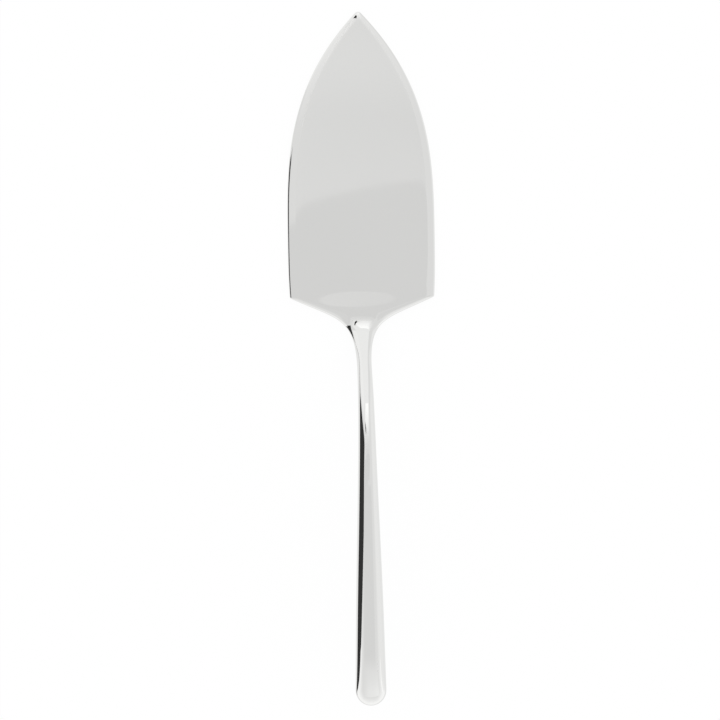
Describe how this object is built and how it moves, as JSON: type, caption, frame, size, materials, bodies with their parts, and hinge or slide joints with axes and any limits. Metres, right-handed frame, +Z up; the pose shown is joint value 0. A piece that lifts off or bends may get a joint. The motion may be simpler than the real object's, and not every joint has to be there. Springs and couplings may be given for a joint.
{
  "type": "cake server",
  "caption": "Mirror-polished cake server: flat spade-shaped blade with a pointed tip, slim cranked neck and a raised, round-ended hollow handle, for cutting and lifting slices.",
  "frame": {"origin": "middle of the server's length and width, on the plane that the blade's underside rests on", "axes": "+Y from the handle to the tip, +X to the right with the tip pointing away, +Z up from the blade's underside"},
  "size_m": [0.0554, 0.258, 0.0247],
  "materials": {
    "blade_steel": "polished",
    "shell_steel": "polished",
    "weld_metal": "polished",
    "braze": "satin",
    "cement": "matte"
  },
  "bodies": {
    "root": {"blade": "blade_steel", "handle_top_shell": "shell_steel", "handle_bottom_shell": "shell_steel", "seam_weld": "weld_metal", "mouth_braze_ring": "braze", "tang_cement": "cement"}
  },
  "joints": []
}
